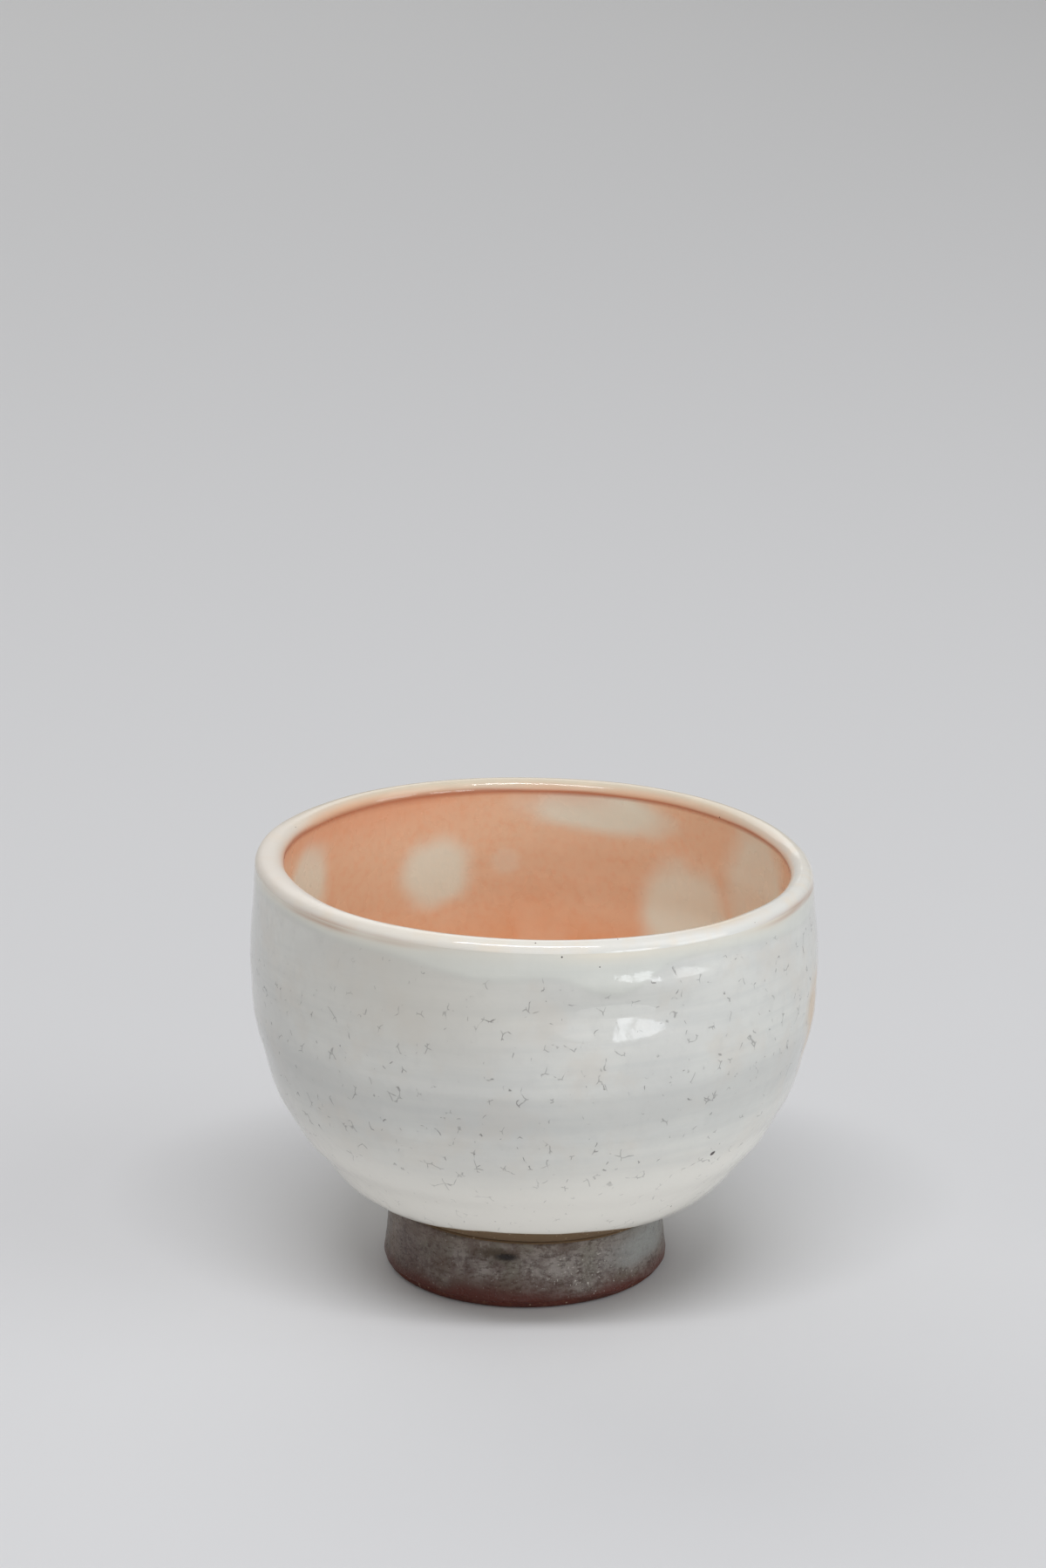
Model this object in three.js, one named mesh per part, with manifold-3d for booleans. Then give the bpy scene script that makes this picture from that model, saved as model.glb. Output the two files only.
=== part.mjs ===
// A kumidashi teacup: a thrown stoneware bowl on a turned foot ring, coated with white slip
// and clear glaze inside and out. Millimetres, +Z up, origin on the table under the bowl's axis.
// The front of the cup faces -Y.
import * as THREE from 'three';
import { mergeGeometries, mergeVertices } from 'three/addons/utils/BufferGeometryUtils.js';
import Module from 'manifold-3d';

// Bowl, measured on the bare clay
const LIP_HEIGHT = 65;          // mean height of the glazed lip above the table
const BELLY_RADIUS = 42.55;     // clay at the widest place
const BELLY_HEIGHT = 49.2;      // height of the widest place
const BOWL_FULLNESS = 2.2;      // exponent of the superellipse under the belly, 2 is an ellipse
const HOLLOW_FULLNESS = 2.4;    // the same for the inside
const NECK_CURVE = 1.6;         // exponent of the inward curve from belly to lip
const LIP_INSET = 1.15;         // how far the outside draws in from belly to lip
const WALL_THICKNESS = 2.8;     // clay at the belly
const FLOOR_THICKNESS = 5.5;    // clay at the centre of the floor
const LIP_THICKNESS = 2;        // clay under the rounded lip
const RIM_FALL = 1.2;           // the hand-made rim is this much low on the +X side, and high on the other

// Coats
const SLIP_THICKNESS = 0.35;
const GLAZE_THICKNESS = 0.4;
const BARE_BAND = 5;            // unslipped clay left round the foot, measured outwards

// Foot ring
const FOOT_HEIGHT = 10.7;       // where the foot's side meets the bowl
const FOOT_TOP_RADIUS = 20.8;
const FOOT_FLARE = 1.1;         // how much wider the foot is at the table
const FOOT_WIDTH = 5.6;         // width of the ring at its top
const WELL_TAPER = 0.8;         // how much wider the well is at the table
const FOOT_EDGE = 1.6;          // round of the outer resting edge
const WELL_EDGE = 0.8;          // bevel of the inner resting edge
const FOOT_SHIFT = 1.4;         // the ring stands this far off the bowl's axis, towards -X
const JOINT_GAP = 0.3;          // luting joint between ring and bowl
const FOOT_GLAZE_THICKNESS = 0.3;
const FOOT_BARE_EDGE = 2.2;     // bare clay above the table
const FOOT_GLAZE_STOP = 0.4;    // clay left bare under the joint

// Fineness of the turned surfaces
const TURN_STEPS = 40;
const WALL_ROWS = 8;
const NECK_ROWS = 4;
const LIP_ROWS = 6;
const EDGE_ROWS = 3;

// Sizes that follow from the ones above
const COAT = SLIP_THICKNESS + GLAZE_THICKNESS;
const LIP_ROUND = LIP_THICKNESS / 2;
const LIP_LINE = LIP_HEIGHT - COAT - LIP_ROUND;
const LIP_RADIUS = BELLY_RADIUS - LIP_INSET - LIP_ROUND;
const SLIP_LINE_RADIUS = FOOT_TOP_RADIUS + BARE_BAND;
const FOOT_WELL_RADIUS = FOOT_TOP_RADIUS - FOOT_WIDTH;
const BOWL_DEPTH = (BELLY_HEIGHT - FOOT_HEIGHT)
  / (1 - (FOOT_TOP_RADIUS / BELLY_RADIUS) ** BOWL_FULLNESS) ** (1 / BOWL_FULLNESS);
const HOLLOW_RADIUS = BELLY_RADIUS - WALL_THICKNESS;
const HOLLOW_DEPTH = BOWL_DEPTH - FLOOR_THICKNESS;
const HOLLOW_INSET = HOLLOW_RADIUS - (LIP_RADIUS - LIP_ROUND);

const wasm = await Module();
wasm.setup();

// Profile curves. Each is a list of rows: a point as (radius, height) and the way its coats build up.

const evenly = (from, to, steps) =>
  Array.from({ length: steps + 1 }, (_, i) => from + (to - from) * i / steps);

// Point of a quarter superellipse that hangs from the belly: 0 is the belly, a right angle the lowest point.
function hangingPoint(radius, depth, fullness, angle) {
  const power = 2 / fullness;
  const across = Math.max(0, Math.cos(angle)) ** power;
  return new THREE.Vector2(radius * across, BELLY_HEIGHT - depth * Math.sin(angle) ** power);
}

// Angle at which that quarter has the given radius.
const angleAtRadius = (wanted, radius, fullness) => Math.acos((wanted / radius) ** (fullness / 2));

// Height of the bowl's outside where it has the given radius.
const outsideHeight = (radius) => hangingPoint(
  BELLY_RADIUS, BOWL_DEPTH, BOWL_FULLNESS, angleAtRadius(radius, BELLY_RADIUS, BOWL_FULLNESS)).y;

// Point of the wall between belly and lip line, share 0 to 1, drawn in by inset at the lip line.
const neckPoint = (radius, inset, share) => new THREE.Vector2(
  radius - inset * share ** NECK_CURVE, BELLY_HEIGHT + (LIP_LINE - BELLY_HEIGHT) * share);

// Gives each point of a curve its unit normal, on the left or right hand of the way it runs.
function rowsOf(points, side) {
  return points.map((point, i) => {
    const before = points[Math.max(0, i - 1)];
    const after = points[Math.min(points.length - 1, i + 1)];
    const run = after.clone().sub(before).normalize();
    return { point, normal: new THREE.Vector2(side * run.y, -side * run.x) };
  });
}

// The curve that lies a coat's thickness off the clay.
const lifted = (rows, distance) =>
  rows.map(({ point, normal }) => point.clone().addScaledVector(normal, distance));

// Wall of the bowl from a low radius up to the lip line; its coats meet the lip's level there.
function wallRows(radius, depth, fullness, inset, lowRadius, side) {
  const low = angleAtRadius(lowRadius, radius, fullness);
  const under = evenly(low, 0, WALL_ROWS).map((angle) => hangingPoint(radius, depth, fullness, angle));
  const neck = evenly(0, 1, NECK_ROWS).slice(1).map((share) => neckPoint(radius, inset, share));
  const rows = rowsOf([...under, ...neck], side);
  rows.at(-1).normal.set(side, 0);
  return rows;
}

// Rows of the rounded lip, from the outer lip line over the top to the inner one.
const lipRows = evenly(0, Math.PI, LIP_ROWS).map((angle) => {
  const normal = new THREE.Vector2(Math.cos(angle), Math.sin(angle));
  return { point: new THREE.Vector2(LIP_RADIUS, LIP_LINE).addScaledVector(normal, LIP_ROUND), normal };
});

const outerRows = wallRows(BELLY_RADIUS, BOWL_DEPTH, BOWL_FULLNESS, LIP_INSET, SLIP_LINE_RADIUS, 1);
const innerRows = wallRows(HOLLOW_RADIUS, HOLLOW_DEPTH, HOLLOW_FULLNESS, HOLLOW_INSET, 0, -1);
innerRows[0].normal.set(0, 1);
lipRows[0] = outerRows.at(-1);
lipRows[LIP_ROWS] = innerRows.at(-1);

// The bowl's underside, from its lowest point out to the slip line.
const slipLineAngle = angleAtRadius(SLIP_LINE_RADIUS, BELLY_RADIUS, BOWL_FULLNESS);
const undersidePoints = evenly(Math.PI / 2, slipLineAngle, WALL_ROWS / 2)
  .map((angle) => hangingPoint(BELLY_RADIUS, BOWL_DEPTH, BOWL_FULLNESS, angle));

// Turned surfaces

// A profile turned about the axis. It faces outwards where the profile rises, or inwards if flipped.
function turned(points, flipped = false) {
  const surface = new THREE.LatheGeometry(points, TURN_STEPS);
  if (flipped) {
    const corners = surface.index.array;
    for (let i = 0; i < corners.length; i += 3) {
      [corners[i + 1], corners[i + 2]] = [corners[i + 2], corners[i + 1]];
    }
  }
  return surface;
}

// Joins turned surfaces that share their edges into one closed skin, standing on +Z.
function closedSkin(surfaces) {
  const joined = mergeGeometries(surfaces);
  joined.deleteAttribute('normal');
  joined.deleteAttribute('uv');
  joined.rotateX(Math.PI / 2);
  const skin = mergeVertices(joined, 1e-4);
  const corners = skin.index.array;
  const kept = [];
  for (let i = 0; i < corners.length; i += 3) {
    const [a, b, c] = corners.subarray(i, i + 3);
    if (a !== b && b !== c && c !== a) kept.push(a, b, c);
  }
  skin.setIndex(kept);
  return skin;
}

// A coat on a wall: its free face, its face on what it covers, and its two ends.
function coatOn(rows, from, to, endStops = [from, to]) {
  const end = (row, stops) => turned(stops.map((stop) => lifted([row], stop)[0]));
  return closedSkin([
    turned(lifted(rows, to)),
    turned(lifted(rows, from), true),
    end(rows[0], endStops),
    end(rows.at(-1), [...endStops].reverse()),
  ]);
}

// Lets the rim fall towards +X and rise towards -X, more the nearer a point is to the lip.
function withUnevenRim(skin) {
  const place = skin.getAttribute('position');
  for (let i = 0; i < place.count; i++) {
    const share = THREE.MathUtils.smoothstep(place.getZ(i), BELLY_HEIGHT, LIP_LINE);
    place.setZ(i, place.getZ(i) - RIM_FALL * share * place.getX(i) / LIP_RADIUS);
  }
  return skin;
}

// Solids for cutting

function solidOf(skin) {
  return new wasm.Manifold(new wasm.Mesh({
    numProp: 3,
    vertProperties: new Float32Array(skin.getAttribute('position').array),
    triVerts: new Uint32Array(skin.index.array),
  }));
}

function skinOf(solid) {
  const mesh = solid.getMesh();
  const skin = new THREE.BufferGeometry();
  skin.setAttribute('position', new THREE.BufferAttribute(mesh.vertProperties, 3));
  skin.setIndex(new THREE.BufferAttribute(mesh.triVerts, 1));
  return skin;
}

// Pieces

// Thrown and trimmed stoneware: underside, wall, rounded lip and hollow.
function bowlBody() {
  return withUnevenRim(closedSkin([
    turned(undersidePoints),
    turned(lifted(outerRows, 0)),
    turned(lifted(lipRows, 0)),
    turned(lifted(innerRows, 0), true),
  ]));
}

// Outer side of the foot between the bare edge and the joint, a little wider towards the table.
const footSideRadius = (height) => FOOT_TOP_RADIUS + FOOT_FLARE * (1 - height / FOOT_HEIGHT);

const footGlazeTop = outsideHeight(FOOT_TOP_RADIUS - FOOT_SHIFT) - JOINT_GAP - FOOT_GLAZE_STOP;
const footSideRows = rowsOf(
  evenly(FOOT_BARE_EDGE, footGlazeTop, EDGE_ROWS)
    .map((height) => new THREE.Vector2(footSideRadius(height), height)), 1);

// The foot ring runs up to the bowl and is fitted to its round underside, a luting joint away.
function footRing() {
  const edgeStart = footSideRadius(FOOT_EDGE) - FOOT_EDGE;
  const edge = evenly(0, Math.PI / 2, EDGE_ROWS).map((angle) => new THREE.Vector2(
    edgeStart + FOOT_EDGE * Math.sin(angle), FOOT_EDGE * (1 - Math.cos(angle))));
  const blankTop = outsideHeight(FOOT_TOP_RADIUS + FOOT_SHIFT) + COAT;
  const wellRadius = FOOT_WELL_RADIUS + WELL_TAPER;
  const outline = [
    new THREE.Vector2(wellRadius, WELL_EDGE),
    new THREE.Vector2(wellRadius + WELL_EDGE, 0),
    ...edge,
    ...footSideRows.map(({ point }) => point),
    new THREE.Vector2(footSideRadius(blankTop), blankTop),
    new THREE.Vector2(FOOT_WELL_RADIUS, blankTop),
    new THREE.Vector2(wellRadius, WELL_EDGE),
  ];
  const blank = closedSkin([turned(outline)]).translate(-FOOT_SHIFT, 0, 0);
  const joint = lifted(rowsOf(undersidePoints, 1), JOINT_GAP);
  joint[0].x = 0;
  const bowlForm = closedSkin([turned([...joint, new THREE.Vector2(0, joint.at(-1).y)])]);
  return skinOf(solidOf(blank).subtract(solidOf(bowlForm)));
}

const outerSlip = () => withUnevenRim(coatOn(outerRows, 0, SLIP_THICKNESS));
const outerGlaze = () => withUnevenRim(coatOn(outerRows, SLIP_THICKNESS, COAT));

// A coat on the hollow closes over the floor, so it has only its upper end.
function hollowCoat(from, to) {
  const top = innerRows.at(-1);
  return withUnevenRim(closedSkin([
    turned(lifted(innerRows, to), true),
    turned(lifted(innerRows, from)),
    turned([lifted([top], from)[0], lifted([top], to)[0]]),
  ]));
}

// One bead of glaze over the lip, meeting slip and glaze on both sides.
const lipGlaze = () => withUnevenRim(coatOn(lipRows, 0, COAT, [0, SLIP_THICKNESS, COAT]));

const footGlaze = () => coatOn(footSideRows, 0, FOOT_GLAZE_THICKNESS).translate(-FOOT_SHIFT, 0, 0);

// Materials and assembly

const fired = (color, roughness) => new THREE.MeshStandardMaterial({ color, roughness, metalness: 0 });

const cup = new THREE.Group();
cup.name = 'kumidashi_teacup';

function addPiece(name, geometry, material) {
  geometry.computeVertexNormals();
  const piece = new THREE.Mesh(geometry, material);
  piece.name = name;
  cup.add(piece);
}

const stoneware = fired(0x6b4033, 0.85);
addPiece('bowl_body', bowlBody(), stoneware);
addPiece('foot_ring', footRing(), stoneware);
addPiece('outer_slip', outerSlip(), fired(0xe6e2d8, 0.8));
addPiece('outer_glaze', outerGlaze(), fired(0xd6d8d4, 0.12));
addPiece('inner_slip', hollowCoat(0, SLIP_THICKNESS), fired(0xd9a283, 0.8));
addPiece('inner_glaze', hollowCoat(SLIP_THICKNESS, COAT), fired(0xcf916c, 0.2));
addPiece('lip_glaze', lipGlaze(), fired(0xe3dccd, 0.2));
addPiece('foot_glaze', footGlaze(), fired(0x70655f, 0.3));

export default cup;
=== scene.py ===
# %% [markdown]
# # A wide, low teacup
#
# This lesson dresses a plain solid model of a small Japanese tea bowl, a kumidashi. The real cup is
# thrown on a wheel from red-brown stoneware, dipped in white slip and then in a clear glaze, and fired.
# We load the solids, read our sizes from them, and rebuild each one as a finer surface with a thrower's
# unevenness and a fired finish. Nothing moves, so every piece rides on the one body that the model has.

# %% Load the frame
import math

import bpy
import numpy as np
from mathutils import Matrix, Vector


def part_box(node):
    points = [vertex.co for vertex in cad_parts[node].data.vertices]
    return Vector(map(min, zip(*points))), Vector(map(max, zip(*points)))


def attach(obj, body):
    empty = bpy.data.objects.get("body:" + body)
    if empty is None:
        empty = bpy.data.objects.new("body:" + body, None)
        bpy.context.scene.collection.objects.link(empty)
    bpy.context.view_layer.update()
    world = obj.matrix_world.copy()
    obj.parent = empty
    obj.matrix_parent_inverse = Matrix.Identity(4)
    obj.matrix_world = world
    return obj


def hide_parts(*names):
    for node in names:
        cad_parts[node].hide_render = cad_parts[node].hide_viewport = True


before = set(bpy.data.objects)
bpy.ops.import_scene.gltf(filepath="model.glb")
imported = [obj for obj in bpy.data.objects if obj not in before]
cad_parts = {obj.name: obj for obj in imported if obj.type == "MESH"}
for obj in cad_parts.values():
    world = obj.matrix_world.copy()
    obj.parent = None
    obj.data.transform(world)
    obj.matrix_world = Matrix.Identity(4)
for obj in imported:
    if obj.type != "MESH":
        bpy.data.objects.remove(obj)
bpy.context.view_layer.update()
print("solids:", sorted(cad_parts))

# %% [markdown]
# ## Sizes
#
# A potter thinks in millimetres, so we do too, and turn to metres only when a mesh is made. The sizes
# come from the boxes of the solids, which keeps our surfaces on them. A few numbers can't be read from a
# box, such as how full the curve of the wall is, and these are written here by name.

# %% Read the sizes
MM = 0.001


def corners(node):
    """Lowest and highest corner of a solid, in millimetres."""
    low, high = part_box(node)
    return np.array(low) / MM, np.array(high) / MM


BELLY_HEIGHT = 49.2       # height of the widest place
BOWL_FULLNESS = 2.2       # exponent of the curve under the belly, 2 is an ellipse
HOLLOW_FULLNESS = 2.4     # the same for the inside
NECK_CURVE = 1.6          # exponent of the inward curve from belly to lip
LIP_ROUND = 1.0           # radius of the clay lip
RIM_FALL = 1.2            # the highest place of the solid rim is this much above its mean
SLIP = 0.35               # thickness of a coat of slip

clay_low, clay_high = corners("bowl_body")
hollow_low, hollow_high = corners("inner_slip")
glaze_high = corners("outer_glaze")[1]
lip_high = corners("lip_glaze")[1]
foot_low, foot_high = corners("foot_ring")

BELLY_RADIUS = clay_high[0]
HOLLOW_RADIUS = hollow_high[0]
COAT = glaze_high[0] - clay_high[0]
LIP_RADIUS = lip_high[0] - COAT - LIP_ROUND
LIP_LINE = lip_high[2] - RIM_FALL - COAT - LIP_ROUND
FOOT_RADIUS = (foot_high[0] - foot_low[0]) / 2
FOOT_CENTRE = (foot_high[0] + foot_low[0]) / 2
print(f"belly radius {BELLY_RADIUS:.2f}, lip line {LIP_LINE:.2f}, coat {COAT:.2f} mm")
print(f"foot radius {FOOT_RADIUS:.2f}, off the axis by {FOOT_CENTRE:.2f} mm")

# %% [markdown]
# ## The clay's outline
#
# Everything that is thrown on a wheel has a profile: a line that turns about the axis. We could draw it
# by hand as a curve and spin it, but a formula is easier to keep exact. Ours runs from the middle of the
# underside, up the outside, over the round lip, and down the inside to the middle of the floor. Each
# point also gets its normal, because slip and glaze build up along it. The lip's circle starts at the
# very slope where the wall ends, so the whole line is smooth.

# %% Draw the outline
FINE = 900


def hanging_curve(radius, lowest, fullness):
    """Quarter superellipse from its lowest point up to the belly: radius times cos(a)^(2/n) outwards and
    depth times sin(a)^(2/n) downwards, as a goes from a right angle to zero."""
    angle = np.linspace(np.pi / 2, 0, FINE)
    across = np.clip(np.cos(angle), 0, 1) ** (2 / fullness)
    down = np.sin(angle) ** (2 / fullness)
    return radius * across, BELLY_HEIGHT - (BELLY_HEIGHT - lowest) * down


def neck_curve(radius, end_radius, end_height):
    """Wall from the belly to the lip: the radius draws in by a power of the share of the height climbed."""
    share = np.linspace(0, 1, FINE // 3)[1:]
    return (radius + (end_radius - radius) * share ** NECK_CURVE,
            BELLY_HEIGHT + (end_height - BELLY_HEIGHT) * share)


def lip_lean(inset):
    """Angle by which the neck leans where it meets the lip: the arctangent of the power curve's slope
    there."""
    return math.atan(NECK_CURVE * inset / (LIP_LINE - BELLY_HEIGHT))


outer_lean = lip_lean(BELLY_RADIUS - LIP_RADIUS - LIP_ROUND)
inner_lean = lip_lean(HOLLOW_RADIUS - LIP_RADIUS + LIP_ROUND)
round_angle = np.linspace(outer_lean, np.pi + inner_lean, FINE // 3)
lip_r = LIP_RADIUS + LIP_ROUND * np.cos(round_angle)
lip_z = LIP_LINE + LIP_ROUND * np.sin(round_angle)

outer_r, outer_z = hanging_curve(BELLY_RADIUS, clay_low[2], BOWL_FULLNESS)
outer_neck_r, outer_neck_z = neck_curve(BELLY_RADIUS, lip_r[0], lip_z[0])
inner_r, inner_z = hanging_curve(HOLLOW_RADIUS, hollow_low[2], HOLLOW_FULLNESS)
inner_neck_r, inner_neck_z = neck_curve(HOLLOW_RADIUS, lip_r[-1], lip_z[-1])

path_r = np.concatenate([outer_r, outer_neck_r, lip_r[1:-1], inner_neck_r[::-1], inner_r[::-1]])
path_z = np.concatenate([outer_z, outer_neck_z, lip_z[1:-1], inner_neck_z[::-1], inner_z[::-1]])
path_arc = np.concatenate([[0], np.cumsum(np.hypot(np.diff(path_r), np.diff(path_z)))])
run_r, run_z = np.gradient(path_r, path_arc), np.gradient(path_z, path_arc)
run = np.hypot(run_r, run_z)
path_out, path_up = run_z / run, -run_r / run

LIP_START = path_arc[len(outer_r) + len(outer_neck_r) - 1]
LIP_END = path_arc[-len(inner_r) - len(inner_neck_r)]
FLOOR_ARC = path_arc[-1]
print(f"outline {FLOOR_ARC:.1f} mm long, lip from {LIP_START:.1f} to {LIP_END:.1f}")

# %% [markdown]
# ## A hand's unevenness
#
# A machine would leave the outline as it is. A hand leaves throwing rings, a slightly uneven wall and a
# rim that isn't quite round. We could sculpt these, or use a noise texture with a Displace modifier. Here
# they are small functions of the turn and the height instead, so that clay, slip and glaze all follow the
# same bumps and stay on top of each other. `mottle` is our own smooth noise: random values on a lattice
# that closes round the cup, with a smooth blend between them.

# %% Noise and steps
def smooth_step(value, start, end):
    """0 before start and 1 after end, with the S-shaped curve 3s^2 - 2s^3 of the share s in between."""
    share = np.clip((value - start) / (end - start), 0, 1)
    return share * share * (3 - 2 * share)


def mottle(turn, height, cells, tall, seed):
    """Smooth noise from -1 to 1: random lattice values, cells of them round the cup and one every tall
    millimetres up it, blended by S-curves in both directions. It closes on itself after a full turn."""
    lattice = np.random.default_rng(seed).uniform(-1, 1, (64, cells))
    across = (turn / (2 * np.pi)) % 1 * cells
    up = height / tall + 20
    left, low = np.floor(across).astype(int), np.floor(up).astype(int)
    side, rise = across - left, up - low
    side, rise = side * side * (3 - 2 * side), rise * rise * (3 - 2 * rise)

    def at(column, row):
        return lattice[row % 64, column % cells]

    lower = at(left, low) * (1 - side) + at(left + 1, low) * side
    upper = at(left, low + 1) * (1 - side) + at(left + 1, low + 1) * side
    return lower * (1 - rise) + upper * rise


def bump(distance):
    """Bell curve exp(-d^2)."""
    return np.exp(-distance ** 2)


def turn_from(turn, degrees):
    """Signed angle from a place round the cup, in degrees, the short way round."""
    return (np.degrees(turn) - degrees + 180) % 360 - 180


def around(turn, degrees, half, shift=0.0):
    """Bell curve round the cup: 1 at a place in degrees, with a half width and a shift in degrees."""
    return bump((turn_from(turn, degrees) + shift) / half)


def apart(turn, degrees, radius):
    """Distance round the cup from a place in degrees, in millimetres: the angle times the radius."""
    return np.radians(turn_from(turn, degrees)) * radius


def round_noise(turn, cells, seed):
    """Noise that changes only round the cup: mottle at one height."""
    return mottle(turn, 0 * turn, cells, 5, seed)


print("noise at four places round the cup:", round_noise(np.array([0.0, 1.5, 3.0, 4.5]), 9, 1).round(2))


# %% The wall's relief
# Height, half width and size of the rings that the thrower's fingers and the trimming tool left outside
OUTER_RINGS = ((57.5, 2.0, -0.08), (46.5, 2.4, -0.08), (42.0, 0.9, 0.05), (35.6, 3.0, -0.18),
               (33.6, 0.8, 0.05), (30.2, 2.0, 0.10), (26.3, 2.4, -0.20), (20.4, 2.2, -0.28),
               (16.3, 1.8, 0.24))
INNER_RINGS = ((54.0, 2.5, 0.10), (46.0, 2.8, -0.14), (38.0, 2.6, 0.12), (30.0, 2.6, -0.16),
               (22.5, 2.2, 0.14))
# Place round the cup in degrees, height, reach across, down and up in millimetres, and depth of the
# shallow dents under the lip; a depth below zero is a fold that stands out
DENTS = ((0.0, 53.0, 8.0, 6.0, 5.0, 0.30), (15.0, 54.0, 11.0, 3.6, 4.0, 1.10),
         (24.0, 58.0, 11.0, 4.0, 1.6, -0.55), (27.0, 51.5, 5.0, 3.0, 3.5, 0.15))


def rings(turn, height, table):
    """Sum of bell curves in height, each drifting up and down by half a millimetre and swelling by a
    third as it goes round."""
    total = np.zeros(np.broadcast(turn, height).shape)
    for place, half, size in table:
        drift = 0.5 * np.sin(turn + place)
        swell = 1 + 0.3 * np.sin(2 * turn + 1.7 * place)
        total = total + size * swell * bump((height - place - drift) / half)
    return total


def dents(turn, height):
    """Sum of hollows, each a bell curve of the distance from its middle, with its own reach across, down
    and up."""
    total = np.zeros(np.broadcast(turn, height).shape)
    for place, middle, wide, down, up, deep in DENTS:
        across = apart(turn, place, BELLY_RADIUS) / wide
        rise = (height - middle) / np.where(height > middle, up, down)
        total = total - deep * bump(np.hypot(across, rise))
    return total


def relief(turn, arc, height):
    """How far the fired clay stands off the outline, along its normal. Outside: rings, dents and a slow
    wobble; inside: rings and a wobble. Both die out at the lip and in the middle."""
    outside = (rings(turn, height, OUTER_RINGS) + dents(turn, height)
               - 0.05 * (1 + mottle(turn, height, 11, 17, 3)) - 0.02 * (1 + mottle(turn, height, 40, 5, 4)))
    inside = rings(turn, height, INNER_RINGS) + 0.1 * mottle(turn, height, 9, 19, 5)
    fade_out = smooth_step(arc, 24, 29) * (1 - smooth_step(arc, LIP_START - 2.8, LIP_START - 0.3))
    fade_in = (smooth_step(arc, LIP_END + 0.5, LIP_END + 5)
               * (1 - smooth_step(arc, FLOOR_ARC - 12, FLOOR_ARC - 4)))
    return outside * fade_out + inside * fade_in


some_turns = np.linspace(0, 2 * np.pi, 90)[None, :]
stand = relief(some_turns, path_arc[:, None], path_z[:, None])
print(f"relief from {stand.min():.2f} to {stand.max():.2f} mm")

# %% From the outline to points in space
OVAL = 0.006              # the bowl is narrower by this share across one diameter
OVAL_TURN = math.radians(90)
RIM_TILT = 1.1            # our rim is this much low on the +X side, and high on the other
FRONT_DIP = 0.45          # the rim also dips at the front
BACK_RISE = 0.85          # and rises behind
LEFT_ROLL = 0.8           # the lip is this much thicker inwards on the -X side


def on_clay(turn, arc, lift):
    """Radius and height at arc lengths along the outline, lifted off the clay: outline point plus its
    normal times the sum of relief and lift."""
    radius, height = np.interp(arc, path_arc, path_r), np.interp(arc, path_arc, path_z)
    out, up = np.interp(arc, path_arc, path_out), np.interp(arc, path_arc, path_up)
    stand = relief(turn, arc, height) + lift
    return radius + out * stand, height + up * stand


def in_space(turn, radius, height):
    """x, y, z of points of the bowl. The front faces -Y and the turn goes towards +X. The bowl is a
    little oval, and its rim falls towards +X, rises behind and waves a little, more the nearer a point is
    to the lip. On the -X side the inner half of the lip also stands further in."""
    share = smooth_step(height, BELLY_HEIGHT, LIP_LINE)
    inward = LEFT_ROLL * around(turn, -95, 45) * smooth_step(LIP_RADIUS + 1.0 - radius, 0, 2.5)
    uneven = 0.16 * round_noise(turn, 15, 51) + 0.08 * round_noise(turn, 37, 52)
    radius = radius - (inward + uneven * smooth_step(LIP_RADIUS + 0.5 - radius, 0, 2)) * share
    squeeze = 1 - OVAL * smooth_step(height, 18, 40) * (1 - np.cos(2 * (turn - OVAL_TURN))) / 2
    x, y = radius * squeeze * np.sin(turn), -radius * squeeze * np.cos(turn)
    wave = (0.10 * (np.sin(3 * turn + 0.6) + 0.6 * np.sin(5 * turn + 2.0) - 1)
            - FRONT_DIP * around(turn, 0, 60) + BACK_RISE * around(turn, 165, 65))
    z = height + share * (wave - RIM_TILT * x / LIP_RADIUS)
    return x, y, z


rim_turn = np.radians([[0, 90, 180, 270]])
rim_z = in_space(rim_turn, *on_clay(rim_turn, (LIP_START + LIP_END) / 2 + 0 * rim_turn, COAT))[2]
print("rim height at the front, right, back and left:", rim_z[0].round(1), "mm")

# %% [markdown]
# ## From points to meshes
#
# Each piece is a grid: rows along the profile and columns round the cup. A coat is a ring that closes on
# itself in both directions, while the bowl has a point at each end of its profile. Blender's Spin tool or
# a Screw modifier could make such forms too, but not with a profile that changes as it goes round. We
# fill the mesh with `foreach_set`, which takes whole arrays, and keep edges sharp only where two faces
# meet at a clear angle.

# %% Grid to mesh
SHARP_ANGLE = math.radians(38)
pieces = {}


def grid_faces(rows, columns, ring):
    """Corner numbers of the four-sided faces between neighbouring rows and columns. Columns always close
    round; rows close too for a ring."""
    row = np.arange(rows if ring else rows - 1)[:, None]
    column = np.arange(columns)[None, :]
    above, beside = (row + 1) % rows, (column + 1) % columns
    quads = [row * columns + column, row * columns + beside,
             above * columns + beside, above * columns + column]
    return np.stack(np.broadcast_arrays(*quads), axis=-1).reshape(-1, 4)


def fill_mesh(mesh, points, quads, triangles):
    """Puts points, four-sided faces and three-sided faces into an empty mesh as whole arrays."""
    corners_of_faces = np.concatenate([quads.ravel(), triangles.ravel()]).astype(np.int32)
    sides = np.concatenate([np.full(len(quads), 4), np.full(len(triangles), 3)])
    mesh.vertices.add(len(points))
    mesh.vertices.foreach_set("co", points.astype(np.float32).ravel())
    mesh.loops.add(len(corners_of_faces))
    mesh.loops.foreach_set("vertex_index", corners_of_faces)
    mesh.polygons.add(len(sides))
    mesh.polygons.foreach_set("loop_start", (np.cumsum(sides) - sides).astype(np.int32))
    mesh.polygons.foreach_set("use_smooth", np.ones(len(sides), dtype=bool))
    mesh.update(calc_edges=True)
    mesh.validate()
    mesh.set_sharp_from_angle(angle=SHARP_ANGLE)


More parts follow.
